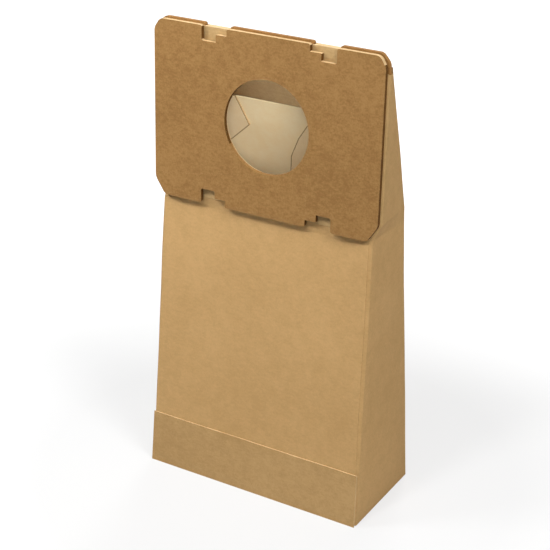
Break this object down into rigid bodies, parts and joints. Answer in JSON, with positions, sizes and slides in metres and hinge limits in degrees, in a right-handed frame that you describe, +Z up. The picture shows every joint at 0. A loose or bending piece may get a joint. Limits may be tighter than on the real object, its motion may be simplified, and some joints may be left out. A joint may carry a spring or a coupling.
{
  "type": "vacuum dust bag",
  "caption": "Folded kraft paper dust bag for a vacuum cleaner, with a stiff notched collar card around its round inlet.",
  "frame": {"origin": "centre of the footprint, on the surface that the bag stands on", "axes": "+X to the right across the collar, +Y from the collar to the back, +Z up"},
  "size_m": [0.1414, 0.0644, 0.2675],
  "materials": {
    "collar_board": "matt brown fibre board with paler cut edges",
    "kraft_paper": "matt brown kraft paper",
    "filter_paper": "matt cream filter paper"
  },
  "bodies": {
    "root": {"front_collar_card": "collar_board", "rear_collar_card": "collar_board", "outer_paper_bag": "kraft_paper", "inner_filter_ply": "filter_paper"}
  },
  "joints": []
}
